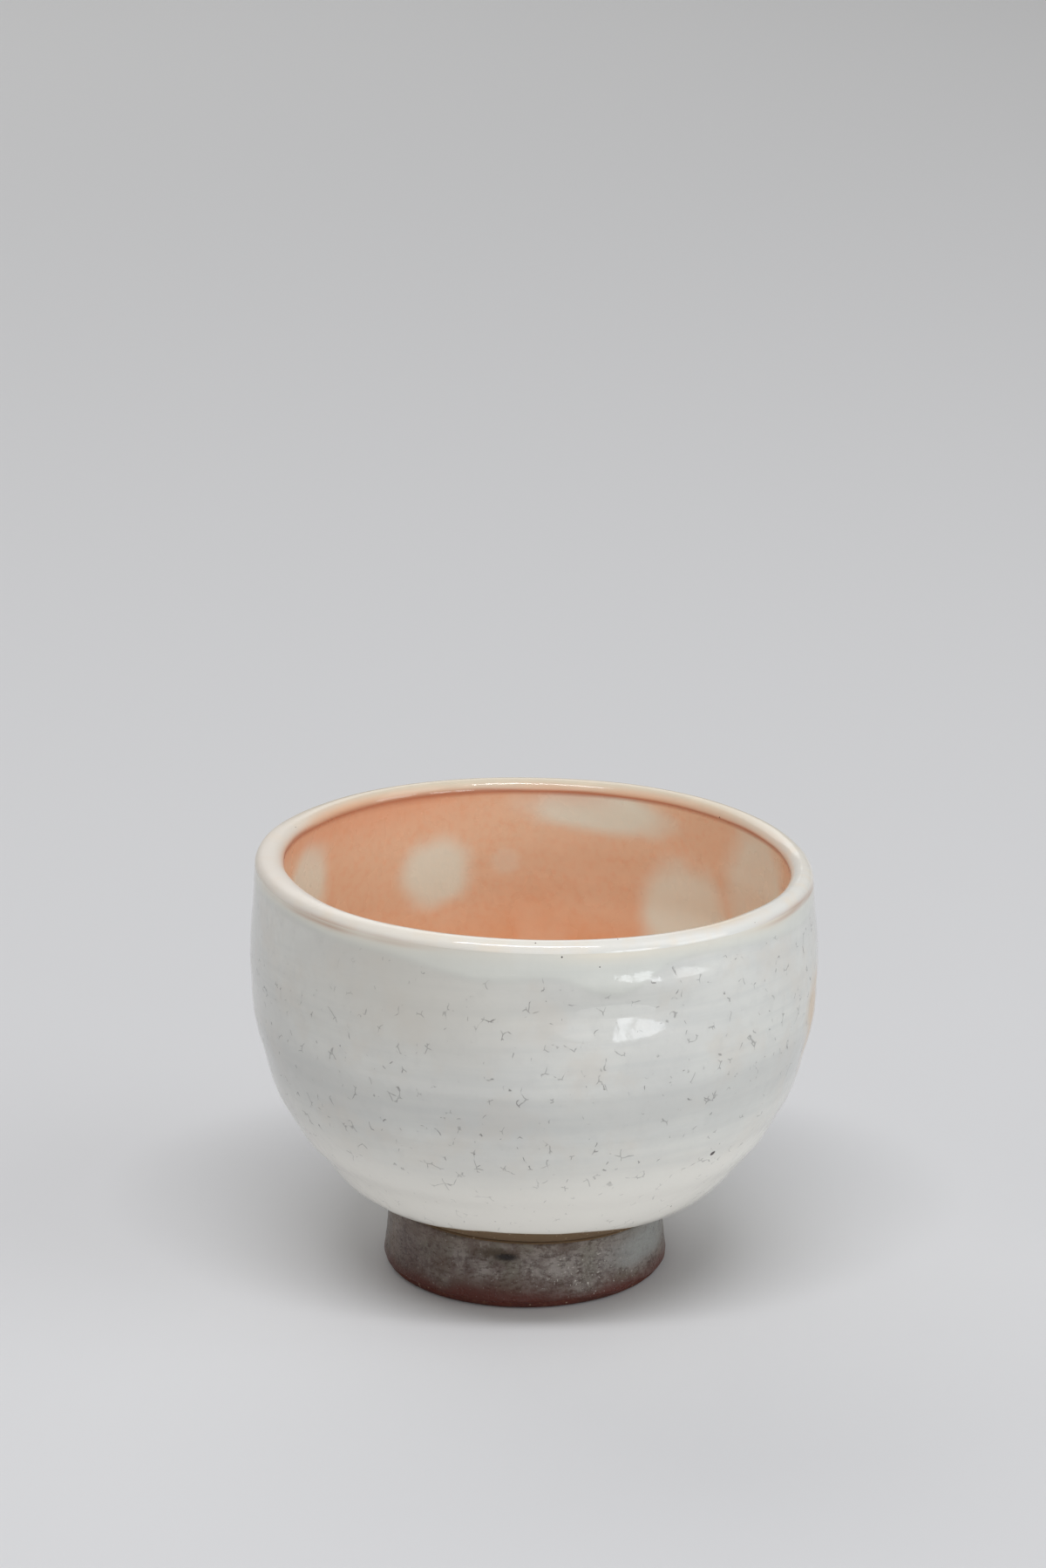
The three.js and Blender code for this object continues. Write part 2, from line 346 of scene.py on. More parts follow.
def make_piece(name, x, y, z, masks, ring, nodes, slot):
    """Makes a piece from its grid of points in millimetres. Without ring, the first and last rows are
    drawn together to one point each. Masks are numbers per point that its finish reads. The piece then
    rides on the cup."""
    rows, columns = x.shape
    grid = np.stack([x, y, z], axis=-1)
    quads = grid_faces(rows, columns, ring)
    triangles = np.empty((0, 3), dtype=int)
    points = grid.reshape(-1, 3)
    if not ring:
        ends = [grid[0].mean(axis=0), grid[-1].mean(axis=0)]
        column = np.arange(columns)
        beside = (column + 1) % columns
        first, last = rows * columns, rows * columns + 1
        low = np.stack([np.full(columns, first), beside, column], axis=-1)
        top = (rows - 1) * columns
        high = np.stack([np.full(columns, last), top + column, top + beside], axis=-1)
        triangles = np.concatenate([low, high])
        points = np.concatenate([points, ends])
    mesh = bpy.data.meshes.new(name)
    fill_mesh(mesh, points * MM, quads, triangles)
    for mask, values in masks.items():
        values = np.broadcast_to(values, x.shape)
        spread = values.ravel()
        if not ring:
            spread = np.concatenate([spread, [values[0].mean(), values[-1].mean()]])
        attribute = mesh.attributes.new(mask, "FLOAT", "POINT")
        attribute.data.foreach_set("value", spread.astype(np.float32))
    piece = bpy.data.objects.new(name, mesh)
    bpy.context.scene.collection.objects.link(piece)
    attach(piece, "root")
    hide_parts(*nodes)
    pieces[name] = piece
    print(f"{name}: {len(points)} points, {2 * len(quads) + len(triangles)} triangles")


def turns_of(columns):
    """Angles of the columns once round the cup, as one row."""
    return np.linspace(0, 2 * np.pi, columns, endpoint=False)[None, :]


def shares(rows, ease=1.0):
    """Numbers from 0 to 1 as one column, crowded towards 0 if ease is above 1."""
    return np.linspace(0, 1, rows)[:, None] ** ease


print("a ring of 3 rows and 4 columns has", len(grid_faces(3, 4, True)), "faces")

# %% [markdown]
# ## The bare bowl
#
# Under its coats the cup is red-brown stoneware. Only the underside stays bare, in a crooked band round
# the foot and inside the foot's well, where the trimming tool has left fine rings. We put most rows there
# and only a few where slip and glaze hide the clay.

# %% Bowl of clay
CLAY_TURNS = 320
turn = turns_of(CLAY_TURNS)
SLIP_EDGE = 26.2          # mean radius at which the slip ends
SLIP_RISE = 2.4           # it ends this much further out at the front


def slip_edge_radius(turn):
    """Radius of the slip's lower edge: a mean, a bell-shaped rise at the front, waves and small tears."""
    return (SLIP_EDGE + SLIP_RISE * around(turn, -6, 42)
            + 0.5 * np.sin(2 * turn + 2.6) * (1 - around(turn, 0, 60))
            + 0.22 * round_noise(turn, 21, 7) + 0.1 * round_noise(turn, 60, 8))


def arc_at_radius(radius):
    """Arc length at which the outside under the belly has a radius."""
    return np.interp(radius, outer_r, path_arc[:len(outer_r)])


bare_arc = float(arc_at_radius(SLIP_EDGE + SLIP_RISE + 2))
clay_rows = np.concatenate([
    np.linspace(0.6, bare_arc, 80),
    np.linspace(bare_arc, LIP_START, 36)[1:],
    np.linspace(LIP_START, LIP_END, 12)[1:],
    np.linspace(LIP_END, FLOOR_ARC - 0.6, 40)[1:],
])[:, None]
clay_arc = np.broadcast_to(clay_rows, (len(clay_rows), CLAY_TURNS))
trimmed = 1 - smooth_step(clay_arc, bare_arc - 4, bare_arc)
tool_marks = 0.05 * np.sin(clay_arc * 5.5 + np.sin(turn)) * trimmed
clay_r, clay_z = on_clay(turn, clay_arc, tool_marks * smooth_step(clay_arc, 2, 6))
make_piece("bowl_clay", *in_space(turn, clay_r, clay_z), {"ash": smooth_step(clay_r, 17, 20)}, False,
           ["bowl_body"], "stoneware")

# %% [markdown]
# ## The foot ring
#
# The foot is a second form, turned and luted on a little off the bowl's axis. Its side flares towards the
# table, its resting edge is rounded so that it won't scratch, and its top follows the bowl's round
# underside. A Boolean cut would fit it to the bowl, but leaves ragged faces. So each column of the grid
# asks the bowl's outline how high the underside is there, and its rows share out the height.

# %% The foot's side
FOOT_TURNS = 400
FOOT_FLARE = 1.1          # how much wider the foot is at the table
FOOT_HEIGHT = 10.7        # where the foot's side meets the bowl
FOOT_EDGE = 1.6           # round of the outer resting edge
WELL_EDGE = 0.8           # round of the inner resting edge
FOOT_WIDTH = 5.6          # width of the ring at its top
WELL_TAPER = 0.8          # how much wider the well is at the table
SHOULDER = 0.3            # round at the top of the side, under the bowl
SEAT_GAP = 0.02           # the foot's top lies this much under the bowl
foot_turn = turns_of(FOOT_TURNS)
FOOT_TOP = FOOT_RADIUS - FOOT_FLARE * (1 - FOOT_EDGE / FOOT_HEIGHT)


def underside_height(turn, radius):
    """Height of the bowl's underside over a place given by turn and radius about the foot's own axis: the
    outline's height at that place's distance from the bowl's axis."""
    away = np.hypot(FOOT_CENTRE + radius * np.sin(turn), radius * np.cos(turn))
    return np.interp(away, outer_r, outer_z)


def foot_side(turn, height):
    """Radius of the foot's side: it widens towards the table by a power of the way down, with a slow
    wobble and small scrapes."""
    down = np.clip(1 - height / FOOT_HEIGHT, 0, 1)
    return (FOOT_TOP + FOOT_FLARE * down ** 1.4 + 0.05 * (mottle(turn, height, 13, 6, 11) - 1)
            + 0.03 * mottle(turn, height, 40, 0.7, 12) + 0.02 * mottle(turn, height, 90, 0.5, 14))


def edge_round(height):
    """How far the round of the resting edge draws the side in: a quarter circle below the edge's radius."""
    rise = np.clip(1 - height / FOOT_EDGE, 0, 1)
    return FOOT_EDGE * (1 - np.sqrt(1 - rise ** 2))


print(f"foot radius {FOOT_TOP:.2f} mm at the top of its side")

# %% Foot ring of clay
shoulder_top = underside_height(foot_turn, FOOT_TOP - SHOULDER) - SEAT_GAP
side_top = underside_height(foot_turn, FOOT_TOP) - SHOULDER - 0.15
edge_angle = np.linspace(0, np.pi / 2, 12)[:, None]
edge_rise = FOOT_EDGE * (1 - np.cos(edge_angle))
edge_r = foot_side(foot_turn, edge_rise + 0 * foot_turn) - edge_round(edge_rise)
side_z = FOOT_EDGE + (side_top - FOOT_EDGE) * shares(60)
round_angle = np.linspace(0, np.pi / 2, 10)[1:, None]
round_z = side_top + (shoulder_top - side_top) * np.sin(round_angle)
round_r = foot_side(foot_turn, side_top) - (SHOULDER + 0.3) * (1 - np.cos(round_angle))
well_top = FOOT_TOP - FOOT_WIDTH
seat_r = np.linspace(FOOT_TOP - SHOULDER - 1.0, well_top + 0.6, 6)[:, None] + 0 * foot_turn
well_share = shares(14)
well_r = well_top + WELL_TAPER * well_share + 0.05 * mottle(foot_turn, 9 * well_share, 15, 3, 13)
well_z = (underside_height(foot_turn, well_top) - 0.35) * (1 - well_share) + WELL_EDGE * well_share
bevel_angle = np.linspace(0, np.pi / 2, 6)[1:, None]
bevel_r = well_r[-1:] + WELL_EDGE * (1 - np.cos(bevel_angle))
bevel_z = WELL_EDGE * (1 - np.sin(bevel_angle)) + 0 * foot_turn
foot_r = np.concatenate([edge_r, foot_side(foot_turn, side_z)[1:], round_r, seat_r, well_r, bevel_r])
foot_z = np.concatenate([edge_rise + 0 * foot_turn, side_z[1:], round_z,
                         underside_height(foot_turn, seat_r) - SEAT_GAP, well_z, bevel_z])
foot_x, foot_y = FOOT_CENTRE + foot_r * np.sin(foot_turn), -foot_r * np.cos(foot_turn)
make_piece("foot_ring_clay", foot_x, foot_y, foot_z, {"ash": smooth_step(foot_z, 4, 9)}, True, ["foot_ring"],
           "stoneware")

# %% [markdown]
# ## Coats of slip
#
# White slip is liquid clay. It covers the bowl outside down to the crooked edge, and inside right across
# the floor. A coat is a thin closed skin: its free face lies a coat's thickness off the clay, its hidden
# face on the clay, and it thins to a soft edge. A Solidify modifier on a copied wall would do as well,
# but its edge would be square.

# %% Slip outside and inside
SLIP_TURNS = 320
THIN = 0.06               # least thickness at a coat's edge
turn = turns_of(SLIP_TURNS)


def soft_edge(distance, reach):
    """Thickness share of a coat near its edge: a quarter ellipse, the root of 1 - (1 - d/reach)^2."""
    near = np.clip(distance / reach, 0, 1)
    return np.sqrt(1 - (1 - near) ** 2)


def coat_from_edge(turn, start, rows, hidden_rows, under, over, reach):
    """Arc lengths and lifts of a coat outside, from its lower edge up to the lip, then back under its
    face. Over is a lift, or a function of turn and arc."""
    free = start + (LIP_START - start) * shares(rows, 1.35)
    back = LIP_START + (start - LIP_START) * shares(hidden_rows, 0.8)
    top = over(turn, free) if callable(over) else over + 0 * free
    body = np.maximum((top - under) * soft_edge(free - start, reach), THIN)
    return np.concatenate([free, back]), np.concatenate([under + body, under + 0 * back])


def coat_to_floor(columns, rows, hidden_rows, under, over):
    """Arc lengths and lifts of a coat inside: the hidden face from the middle of the floor up to the lip,
    then the free face back down."""
    back = FLOOR_ARC - 0.4 + (LIP_END - FLOOR_ARC + 0.4) * shares(hidden_rows)
    free = LIP_END + (FLOOR_ARC - 0.4 - LIP_END) * shares(rows)
    arc = np.concatenate([back, free]) + np.zeros((1, columns))
    return arc, np.concatenate([under + 0 * back, over + 0 * free]) + np.zeros((1, columns))


slip_start = arc_at_radius(slip_edge_radius(turn))
arc, lift = coat_from_edge(turn, slip_start, 56, 14, 0.0, SLIP, 0.5)
make_piece("outer_slip_coat", *in_space(turn, *on_clay(turn, arc, lift)), {}, True,
           ["outer_slip"], "white_slip")
arc, lift = coat_to_floor(SLIP_TURNS, 50, 20, 0.0, SLIP)
make_piece("inner_slip_coat", *in_space(turn, *on_clay(turn, arc, lift)), {}, False,
           ["inner_slip"], "flushed_slip")

# %% [markdown]
# ## Glaze outside
#
# The glaze lies over the slip and stops a little above its edge. The rim was dipped a second time, which
# left a smoother, thicker band with a wavy lower edge under the lip. The finish needs to know where that
# band is, where the flame has warmed the glaze, where iron has bled through, where the crackle stays
# away and where light and shade are painted into the colour, so the points carry these as numbers
# between 0 and 1.

# %% The second dip and the warm places
GLAZE_TURNS = 480
turn = turns_of(GLAZE_TURNS)
# Place in degrees, half width and drop of the tongues in which the second dip ran down
TONGUES = ((-8, 15, 2.6), (16, 9, 4.6), (70, 20, 1.6), (118, 14, 3.0), (165, 18, 2.2),
           (-150, 12, 3.4), (-95, 20, 1.4))
DIP_LEVEL = 61.6          # mean height of the second dip's lower edge


def dip_line(turn):
    """Height of the second dip's lower edge: a level less bell-shaped tongues, with small waves."""
    level = DIP_LEVEL + 0.35 * round_noise(turn, 25, 21)
    for place, half, drop in TONGUES:
        level = level - drop * around(turn, place, half)
    return level


def in_dip(turn, height):
    """1 inside the second dip, 0 under its edge."""
    return smooth_step(height - dip_line(turn), -0.7, 0.7)


def glaze_lift(turn, arc):
    """Lift of the glaze's free face: the coat, thinned where only one dip covers it and swelling a
    little."""
    height = np.interp(arc, path_arc, path_z)
    return COAT - 0.09 * (1 - in_dip(turn, height)) + 0.03 * mottle(turn, height, 34, 8, 22) - 0.03


def warm_places(turn):
    """How strongly the rim is flushed on its way round: bell curves on either side of the front and two
    behind, broken up by noise."""
    strong = (0.7 * around(turn, -43, 22) + 1.3 * around(turn, 70, 13)
              + 0.7 * around(turn, 160, 30) + 0.6 * around(turn, -140, 20))
    return np.clip(strong * (0.75 + 0.5 * round_noise(turn, 40, 27)), 0, 1)


print(f"second dip's edge from {dip_line(turn).min():.1f} to {dip_line(turn).max():.1f} mm high")

# %% Glaze on the outside
glaze_start = arc_at_radius(slip_edge_radius(turn)) + 0.35 + 0.15 * round_noise(turn, 50, 23)
arc, lift = coat_from_edge(turn, glaze_start, 150, 14, SLIP, glaze_lift, 0.55)
radius, height = on_clay(turn, arc, lift)
flow = mottle(turn, height, 26, 9, 24)
rim_near = LIP_START - arc
stain_near = around(turn, 78, 9) * bump((height - 42) / 9)
stain_noise = 0.22 * flow + 0.25 * mottle(turn, height, 60, 4, 29) + 0.15 * mottle(turn, height, 150, 2, 30)
masks = {
    "dip": in_dip(turn, height),
    # Lower wall towards the foot: painted light from the pale floor with a warmer tone of its own; the
    # crackle thins here too
    "hip": 1 - smooth_step(height + 1.2 * flow, 21, 36),
    # Darker band round the wall at about 39 mm: painted shade under a throwing ring, partly a change in the
    # slip's thickness
    "slip_and_shade_band": bump((height - 39 - mottle(turn, height, 7, 30, 25)) / 3.6),
    # Greyer, warmer patch on the upper left under the lip: partly the glaze's own grey, partly painted shade
    # on the side turned from the main light
    "grey": bump(np.hypot(turn_from(turn, -24) / 30, (height - 55 + 2 * flow) / 9))
            + 0.5 * bump(np.hypot(turn_from(turn, -33) / 15, (height - 62 + flow) / 3)),
    "stain": smooth_step(stain_near + np.sqrt(stain_near) * stain_noise, 0.2, 1.25),
    "peach": warm_places(turn) * bump((rim_near - 0.35 - 0.25 * flow) / 0.4),
    "cream": (0.5 + 0.3 * flow) * bump(rim_near / 1.3),
    "hem": bump((arc - glaze_start) / 0.6),
    "calm": around(turn, -56, 30) * smooth_step(height, 51, 56),
}
make_piece("outer_glaze_coat", *in_space(turn, radius, height), masks, True,
           ["outer_glaze"], "outer_glaze")

# %% [markdown]
# ## Glaze over the lip
#
# Where the two dips meet, the glaze rolls over the lip as one bead. On the sharpest bend it runs thin and
# the body shows through warm: cream on the crest, an orange-brown line inside, and peach patches outside.
# On the left it came out of the kiln more matt.

# %% Bead on the lip
LIP_ROWS = 44
free = LIP_START + (LIP_END - LIP_START) * shares(LIP_ROWS)
back = LIP_END + (LIP_START - LIP_END) * shares(8)
arc = np.concatenate([free, back]) + 0 * turn
lift = np.concatenate([COAT + 0 * free, 0 * back]) + 0 * turn
lift = lift - 0.03 * (lift > 0.5) * (1 - mottle(turn, arc * 0.5, 34, 8, 22))
radius, height = on_clay(turn, arc, lift)
over_lip = (arc - LIP_START) / (LIP_END - LIP_START)
flow = mottle(turn, over_lip * 4, 30, 4, 26)
masks = {
    "peach": warm_places(turn) * bump((over_lip + 0.07 - 0.05 * flow) / 0.11),
    "cream": 0.5 + 0.5 * smooth_step(over_lip, 0.0, 0.25),
    "fresh": 0.75 * around(turn, 42, 45),
    "behind": smooth_step(np.abs(turn_from(turn, 0)), 85, 140),
    "matt": around(turn, -80, 42),
    "patch": around(turn, 40, 11) * smooth_step(over_lip + 0.1 * flow, 0.15, 0.6),
    "line": bump((over_lip - 1.0 - 0.03 * flow) / (0.05 + 0.08 * around(turn, -140, 45))),
    "inside": smooth_step(over_lip + 0.1 * flow, 0.58, 0.95) * np.clip(
        0.28 + 0.5 * around(turn, -140, 45) + 0.15 * around(turn, 150, 30)
        - 0.45 * around(turn, 0, 75) + 0.4 * round_noise(turn, 17, 28), 0, 1),
}
make_piece("lip_glaze_bead", *in_space(turn, radius, height), masks, True, ["lip_glaze"], "lip_glaze")

# %% [markdown]
# ## Glaze inside
#
# Inside, the kiln has flushed the slip orange, with pale round spots where gas escaped through it. The
# spots could be painted as a texture, but a formula is enough: each is an ellipse laid on the wall, and a
# point's distance from its middle, measured along the wall, says how pale it is.

# %% Glaze on the hollow
INSIDE_TURNS = 400
turn = turns_of(INSIDE_TURNS)
# Place round the cup in degrees, height, half width across and up in millimetres, lean, and strength
SPOTS = ((-156, 51.0, 6.9, 6.0, 0, 1.0), (140, 44.6, 9.2, 10.4, 0, 1.0), (-113, 54.5, 7.0, 6.4, 0, 1.0),
         (115, 53.0, 10.5, 13.0, 0, 0.85), (163, 60.7, 13.5, 4.1, 0.05, 1.0),
         (-173, 52.0, 2.6, 2.2, 0, 0.3),
         (-60, 50.0, 6.4, 6.0, 0, 0.9), (-20, 43.0, 7.0, 7.4, 0, 0.9), (38, 52.0, 5.4, 5.2, 0, 1.0),
         (75, 40.0, 6.6, 6.6, 0, 0.9), (-95, 33.0, 5.6, 5.2, 0, 0.8), (10, 24.0, 5.6, 6.0, 0, 0.8),
         (-140, 22.0, 5.2, 5.0, 0, 0.8), (110, 19.0, 5.6, 5.4, 0, 0.9))
inside_arc = path_arc[path_arc >= LIP_END]
inside_z = path_z[path_arc >= LIP_END]


def pale_spots(turn, radius, arc, wobble):
    """How pale the flush is: the strongest, over all spots, of an S-curve from a spot's edge inwards. The
    distance to a spot's middle is measured along the wall, across and up, in half widths, and upset a
    little by noise."""
    pale = np.zeros(arc.shape)
    for place, middle, wide, tall, lean, strength in SPOTS:
        across = apart(turn, place, radius)
        up = np.interp(-middle, -inside_z, inside_arc) - arc - lean * across
        away = np.hypot(across / wide, up / tall) + 0.16 * wobble
        pale = np.maximum(pale, strength * (1 - smooth_step(away, 0.58, 1.24)))
    return pale


arc, lift = coat_to_floor(INSIDE_TURNS, 120, 20, SLIP, COAT)
radius, height = on_clay(turn, arc, lift)
flow = mottle(turn, height, 22, 9, 31)
rim_near = arc - LIP_END
masks = {
    "pale": pale_spots(turn, radius, arc, flow + 0.5 * mottle(turn, height, 70, 3, 33)),
    "deep": 1 - smooth_step(height + 2.5 * flow, 32, 50),
    "line": bump((rim_near - 0.1 * flow) / (0.2 + 0.4 * around(turn, -140, 45))),
    "lipward": np.clip(
        bump(rim_near / 2.2) * (0.5 + round_noise(turn, 19, 32) - around(turn, 110, 22))
        + bump(rim_near / 6.0) * around(turn, -138, 30), 0, 1),
}
make_piece("inner_glaze_coat", *in_space(turn, radius, height), masks, False,
           ["inner_glaze"], "inner_glaze")

# %% [markdown]
# ## Glaze on the foot
#
# The foot was only wiped with a thin glaze, which turned grey-brown over the bare clay. It leaves the
# resting edge free in an uneven line. Where it lies thicker it went milky, towards the bare edge it is
# brown, and where it missed, the clay shows as a pit with a dark smear beside it.

# %% Glaze on the foot's side
FOOT_COAT = 0.22
turn = foot_turn
glaze_low_edge = 1.05 + 0.25 * round_noise(turn, 19, 41) + 0.15 * round_noise(turn, 55, 42)
glaze_top_edge = side_top
free_z = glaze_low_edge + (glaze_top_edge - glaze_low_edge) * shares(64)
back_z = glaze_top_edge + (glaze_low_edge - glaze_top_edge) * shares(10)
ends = np.minimum(free_z - glaze_low_edge, glaze_top_edge - free_z)
swell = 0.06 * mottle(turn, free_z, 48, 1.6, 43)
coat = np.maximum((FOOT_COAT + swell) * soft_edge(ends, 0.5), 0.05)
pit_away = np.hypot(apart(turn, -7.8, FOOT_TOP) / 2.2, (free_z - 8.2) / 0.75)
pit = 1 - smooth_step(pit_away, 0.3, 1.1)
radius = np.concatenate([foot_side(turn, free_z) - edge_round(free_z) + coat - 0.16 * pit,
                         foot_side(turn, back_z) - edge_round(back_z)])
height = np.concatenate([free_z, back_z])
pit = np.concatenate([pit, 0 * back_z])
flow = mottle(turn, height, 30, 3, 44)
masks = {
    "milky": np.clip(around(turn, 62, 23, 6 * flow) * smooth_step(height + flow, 2.5, 5)
                     + 0.6 * around(turn, 170, 22, 8 * flow), 0, 1),
    "pale_side": around(turn, -72, 6, 3 * flow),
    "brown": around(turn, -57, 22, 8 * flow),
    "frost": np.clip(0.15 + 0.6 * around(turn, 26, 18, 8 * flow), 0, 1) * bump((height - 5 + flow) / 3.2),
    "low": 1 - smooth_step(height + 0.9 * flow - 0.8 * around(turn, -45, 30), 0.9, 3.1),
    "high": smooth_step(height + 0.5 * flow, 7.6, 9.4),
    "pit": np.clip(pit, 0, 1),
    "halo": bump(np.hypot(apart(turn, -13, FOOT_TOP) / 3.6, (height - 8.5 + 0.5 * flow) / 0.9)),
    "tan": (0.55 + 0.45 * around(turn, -28, 36)) * (1 - smooth_step(height + 1.5 * flow, 2.4, 6.4)),
}
x, y = FOOT_CENTRE + radius * np.sin(turn), -radius * np.cos(turn)
make_piece("foot_glaze_coat", x, y, height, masks, True, ["foot_glaze"], "foot_glaze")

# %% [markdown]
# ## Tools for the finishes
#
# Each finish is one Principled shader fed by a few nodes. We could click these together in the Shader
# Editor, but helpers keep the list short: `add` makes a node and fills its sockets, and the rest are the
# three or four nodes that every finish uses. Patterns read Object coordinates, turned into millimetres,
# so that a scale of 0.5 means one cell in two millimetres.

# %% Node helpers
def add(tree, kind, sockets, **options):
    """Adds a node, sets its options and fills its sockets: a socket of another node is linked, a plain
    value is set."""
    made = tree.nodes.new(kind)
    for option, value in options.items():
        setattr(made, option, value)
    for socket, value in sockets.items():
        if isinstance(value, bpy.types.NodeSocket):
            tree.links.new(value, made.inputs[socket])
        else:
            made.inputs[socket].default_value = value
    return made


def paint(red, green, blue):
    """A colour given as on a screen, 0 to 255, turned into the linear values that a shader wants."""
    share = np.array([red, green, blue]) / 255
    linear = np.where(share <= 0.04045, share / 12.92, ((share + 0.055) / 1.055) ** 2.4)
    return (*[float(value) for value in linear], 1.0)


def mixed(tree, share, first, second):
    """Blend of two colours by a share."""
    return add(tree, "ShaderNodeMix", {0: share, 6: first, 7: second}, data_type="RGBA").outputs[2]


def ramped(tree, value, start, end, low=0.0, high=1.0):
    """S-curve from low to high while the value goes from start to end."""
    return add(tree, "ShaderNodeMapRange", {0: value, 1: start, 2: end, 3: low, 4: high},
               interpolation_type="SMOOTHSTEP").outputs[0]


def maths(tree, operation, first, second=0.0):
    """One arithmetic step."""
    return add(tree, "ShaderNodeMath", {0: first, 1: second}, operation=operation).outputs[0]


def mask_of(tree, name):
    """A number that the piece's own points carry."""
    return add(tree, "ShaderNodeAttribute", {}, attribute_name=name).outputs["Fac"]


def tinted(tree, colour, mask, share, *screen):
    """A colour blended towards a screen colour by a mask of the piece times a share."""
    return mixed(tree, maths(tree, "MULTIPLY", mask_of(tree, mask), share), colour, paint(*screen))


print("grey 128 on a screen is", round(paint(128, 128, 128)[0], 3), "for a shader")


# %% Patterns
def millimetres(tree):
    """Place on the piece in millimetres."""
    place = add(tree, "ShaderNodeTexCoord", {}).outputs["Object"]
    return add(tree, "ShaderNodeMapping", {"Vector": place, "Scale": (1 / MM, 1 / MM, 1 / MM)}).outputs[0]


def grain(tree, place, scale, detail=2.0, roughness=0.5):
    """Noise between 0 and 1 with so many cells per millimetre."""
    return add(tree, "ShaderNodeTexNoise", {"Vector": place, "Scale": scale, "Detail": detail,
                                            "Roughness": roughness}).outputs["Fac"]


def cells(tree, place, scale, feature="F1"):
    """Voronoi cells, so many per millimetre; gives the node."""
    return add(tree, "ShaderNodeTexVoronoi", {"Vector": place, "Scale": scale}, feature=feature)


def flecks(tree, place, scale, size, kept):
    """Small dots: points nearer than size to a cell's middle, in the share of the cells that is kept."""
    cell = cells(tree, place, scale)
    chosen = add(tree, "ShaderNodeSeparateColor", {0: cell.outputs["Color"]}).outputs[0]
    near = ramped(tree, cell.outputs["Distance"], size * 0.6, size, 1.0, 0.0)
    return maths(tree, "MULTIPLY", near, maths(tree, "LESS_THAN", chosen, kept))


def glaze_point(degrees, arc):
    """Point of the bowl's glazed face, in millimetres, at a turn and an arc length along the outline."""
    angle = np.full((1, 1), math.radians(degrees))
    return [float(value[0, 0]) for value in in_space(angle, *on_clay(angle, np.full((1, 1), arc), COAT))]


def specks(tree, place, table):
    """Single dots, each given by its turn in degrees, its arc length and its radius: the nearest one
    decides."""
    dots = 0.0
    for degrees, arc, size in table:
        middle = glaze_point(degrees, arc)
        away = add(tree, "ShaderNodeVectorMath", {0: place, 1: middle}, operation="DISTANCE")
        dots = maths(tree, "MAXIMUM", dots, ramped(tree, away.outputs["Value"], size, size * 1.6, 1.0, 0.0))
    return dots


print("front of the lip, in millimetres:", [round(value, 1) for value in glaze_point(0, LIP_START)])


# %% Bumps and materials
def raised(tree, height, depth, below=None):
    """Bump from a height between 0 and 1 that stands for so many millimetres, on top of another bump if
    given."""
    sockets = {"Height": height, "Distance": depth * MM, "Strength": 1.0}
    if below is not None:
        sockets["Normal"] = below
    return add(tree, "ShaderNodeBump", sockets).outputs["Normal"]


def new_finish(name, **constants):
    """A material with one Principled shader, whose unchanging sockets are set on the shader itself."""
    finish = bpy.data.materials.new(name)
    finish.use_nodes = True
    tree = finish.node_tree
    shader = tree.nodes["Principled BSDF"]
    for socket, value in constants.items():
        shader.inputs[socket.replace("_", " ")].default_value = value
    return finish, tree, shader


def connect(tree, shader, **sockets):
    """Links node outputs to the shader's sockets."""
    for socket, value in sockets.items():
        tree.links.new(value, shader.inputs[socket.replace("_", " ")])


def dress(finish, *names):
    """Gives a finish to pieces."""
    for name in names:
        pieces[name].data.materials.append(finish)
    print(f"{finish.name}: {len(finish.node_tree.nodes)} nodes on {', '.join(names)}")


# %% [markdown]
# ## Red-brown stoneware
#
# The bare clay is coarse: sand grains, iron specks and a reddish skin where it was wiped. Two sizes of
# noise give the colour, pale and dark flecks sit in it, and a fine bump makes it matt and dry.

# %% Finish of the clay
stoneware, tree, shader = new_finish("red_stoneware", Roughness=0.8, Specular_IOR_Level=0.25)
place = millimetres(tree)
cloud = ramped(tree, grain(tree, place, 0.14, 3), 0.35, 0.65)
sand = grain(tree, place, 2.2, 3, 0.65)
red = mixed(tree, cloud, paint(92, 46, 37), paint(76, 40, 34))
colour = tinted(tree, red, "ash", 1.0, 119, 98, 73)
colour = mixed(tree, ramped(tree, sand, 0.45, 0.8, 0.0, 0.6), colour, paint(122, 88, 66))
grit = maths(tree, "MULTIPLY", flecks(tree, place, 1.3, 0.24, 0.45), 0.6)
colour = mixed(tree, grit, colour, paint(190, 168, 142))
colour = mixed(tree, flecks(tree, place, 0.7, 0.14, 0.3), colour, paint(38, 28, 26))
normal = raised(tree, sand, 0.08, raised(tree, grain(tree, place, 0.7, 2), 0.12))
connect(tree, shader, Base_Color=colour, Normal=normal)
dress(stoneware, "bowl_clay", "foot_ring_clay")

# %% [markdown]
# ## White slip
#
# Slip shows only as a thin matt hem under the glaze. Outside it is off-white, and inside the kiln has
# turned it peach.

# %% Finish of the slip
for name, piece, light, dark in (("white_slip_hem", "outer_slip_coat", (222, 212, 196), (196, 180, 160)),
                                 ("peach_slip", "inner_slip_coat", (222, 170, 138), (204, 146, 112))):
    slip, tree, shader = new_finish(name, Roughness=0.72)
    place = millimetres(tree)
    powder = grain(tree, place, 1.6, 3)
    colour = mixed(tree, ramped(tree, powder, 0.3, 0.7), paint(*dark), paint(*light))
    connect(tree, shader, Base_Color=colour, Normal=raised(tree, powder, 0.05))
    dress(slip, piece)

# %% [markdown]
# ## White glaze with scattered crackle
#
# The glaze is glassy and grey-white. It has crazed into short strokes: pieces of a net of cracks, dark
# with old tea. A net is what Voronoi cells give, as the distance to the nearest cell wall. Noise keeps
# only short stretches of the walls and some of their junctions, so that they read as scattered strokes
# and small forks. They thin out towards the foot, and the second dip under the lip has none. A few single
# specks of iron have their own places.

